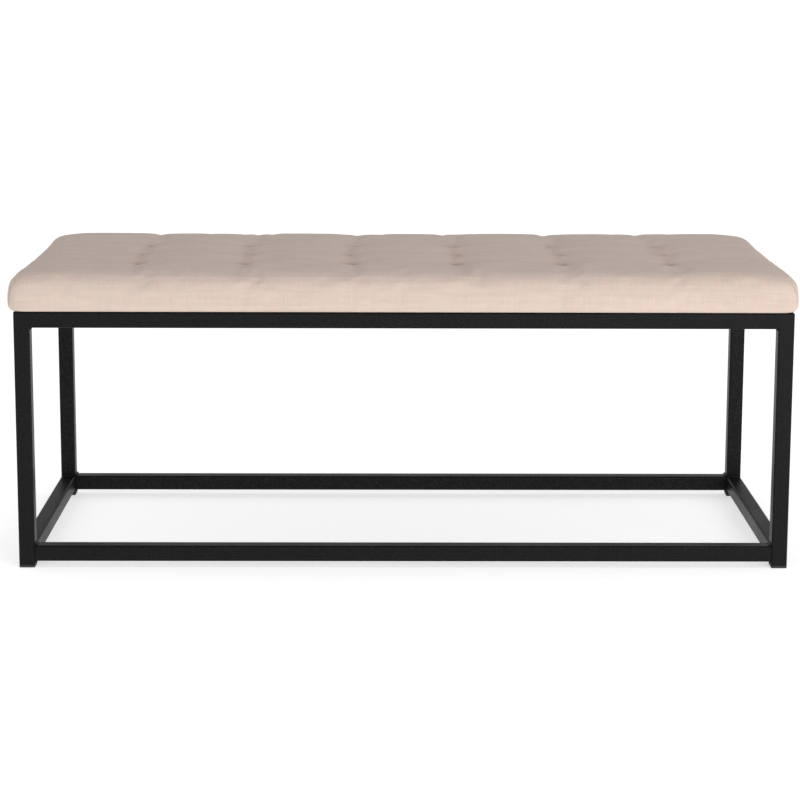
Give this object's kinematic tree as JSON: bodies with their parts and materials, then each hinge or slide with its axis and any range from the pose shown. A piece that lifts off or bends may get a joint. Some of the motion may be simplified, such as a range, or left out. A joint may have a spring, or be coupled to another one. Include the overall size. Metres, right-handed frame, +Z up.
{
  "type": "entryway bench",
  "caption": "Low rectangular bench: a black square-tube cage frame with a rail all round at the top and near the floor, under a soft buttonless-tufted fabric seat pad.",
  "frame": {"origin": "on the floor, below the middle of the bench's length and depth", "axes": "+X along the bench's length to the right, -Y towards the front, +Z up"},
  "size_m": [1.16, 0.47, 0.443],
  "materials": {
    "frame_powder_coat": "fine-textured black powder coat, satin",
    "weld_powder_coat": "weld bead under the same black powder coat",
    "glide_plastic": "moulded black plastic, matte",
    "black_oxide_steel": "black oxide, satin",
    "zinc_plated_steel": "bright zinc plating",
    "insert_brass": "machined brass",
    "board_plywood": "raw plywood, sanded",
    "foam": "open-cell polyurethane foam, raw",
    "wadding": "loose polyester wadding",
    "cover_linen": "heathered linen-look weave in pinkish beige",
    "tuft_twine": "waxed twine",
    "dust_cover_felt": "black non-woven dust cover"
  },
  "bodies": {
    "root": {"front_left_leg": "frame_powder_coat", "front_right_leg": "frame_powder_coat", "rear_left_leg": "frame_powder_coat", "rear_right_leg": "frame_powder_coat", "front_top_rail": "frame_powder_coat", "rear_top_rail": "frame_powder_coat", "left_top_side_rail": "frame_powder_coat", "right_top_side_rail": "frame_powder_coat", "front_bottom_rail": "frame_powder_coat", "rear_bottom_rail": "frame_powder_coat", "left_bottom_side_rail": "frame_powder_coat", "right_bottom_side_rail": "frame_powder_coat", "front_welds": "weld_powder_coat", "rear_welds": "weld_powder_coat", "left_welds": "weld_powder_coat", "right_welds": "weld_powder_coat", "seat_brackets": "frame_powder_coat", "bracket_welds": "weld_powder_coat", "front_left_glide": "glide_plastic", "front_right_glide": "glide_plastic", "rear_left_glide": "glide_plastic", "rear_right_glide": "glide_plastic", "seat_bolts": "black_oxide_steel", "bolt_washers": "zinc_plated_steel", "threaded_inserts": "insert_brass", "seat_board": "board_plywood", "seat_foam": "foam", "seat_wadding": "wadding", "seat_cover": "cover_linen", "tuft_twines": "tuft_twine", "tuft_staples": "zinc_plated_steel", "hem_staples": "zinc_plated_steel", "dust_cover": "dust_cover_felt", "dust_cover_staples": "zinc_plated_steel"}
  },
  "joints": []
}
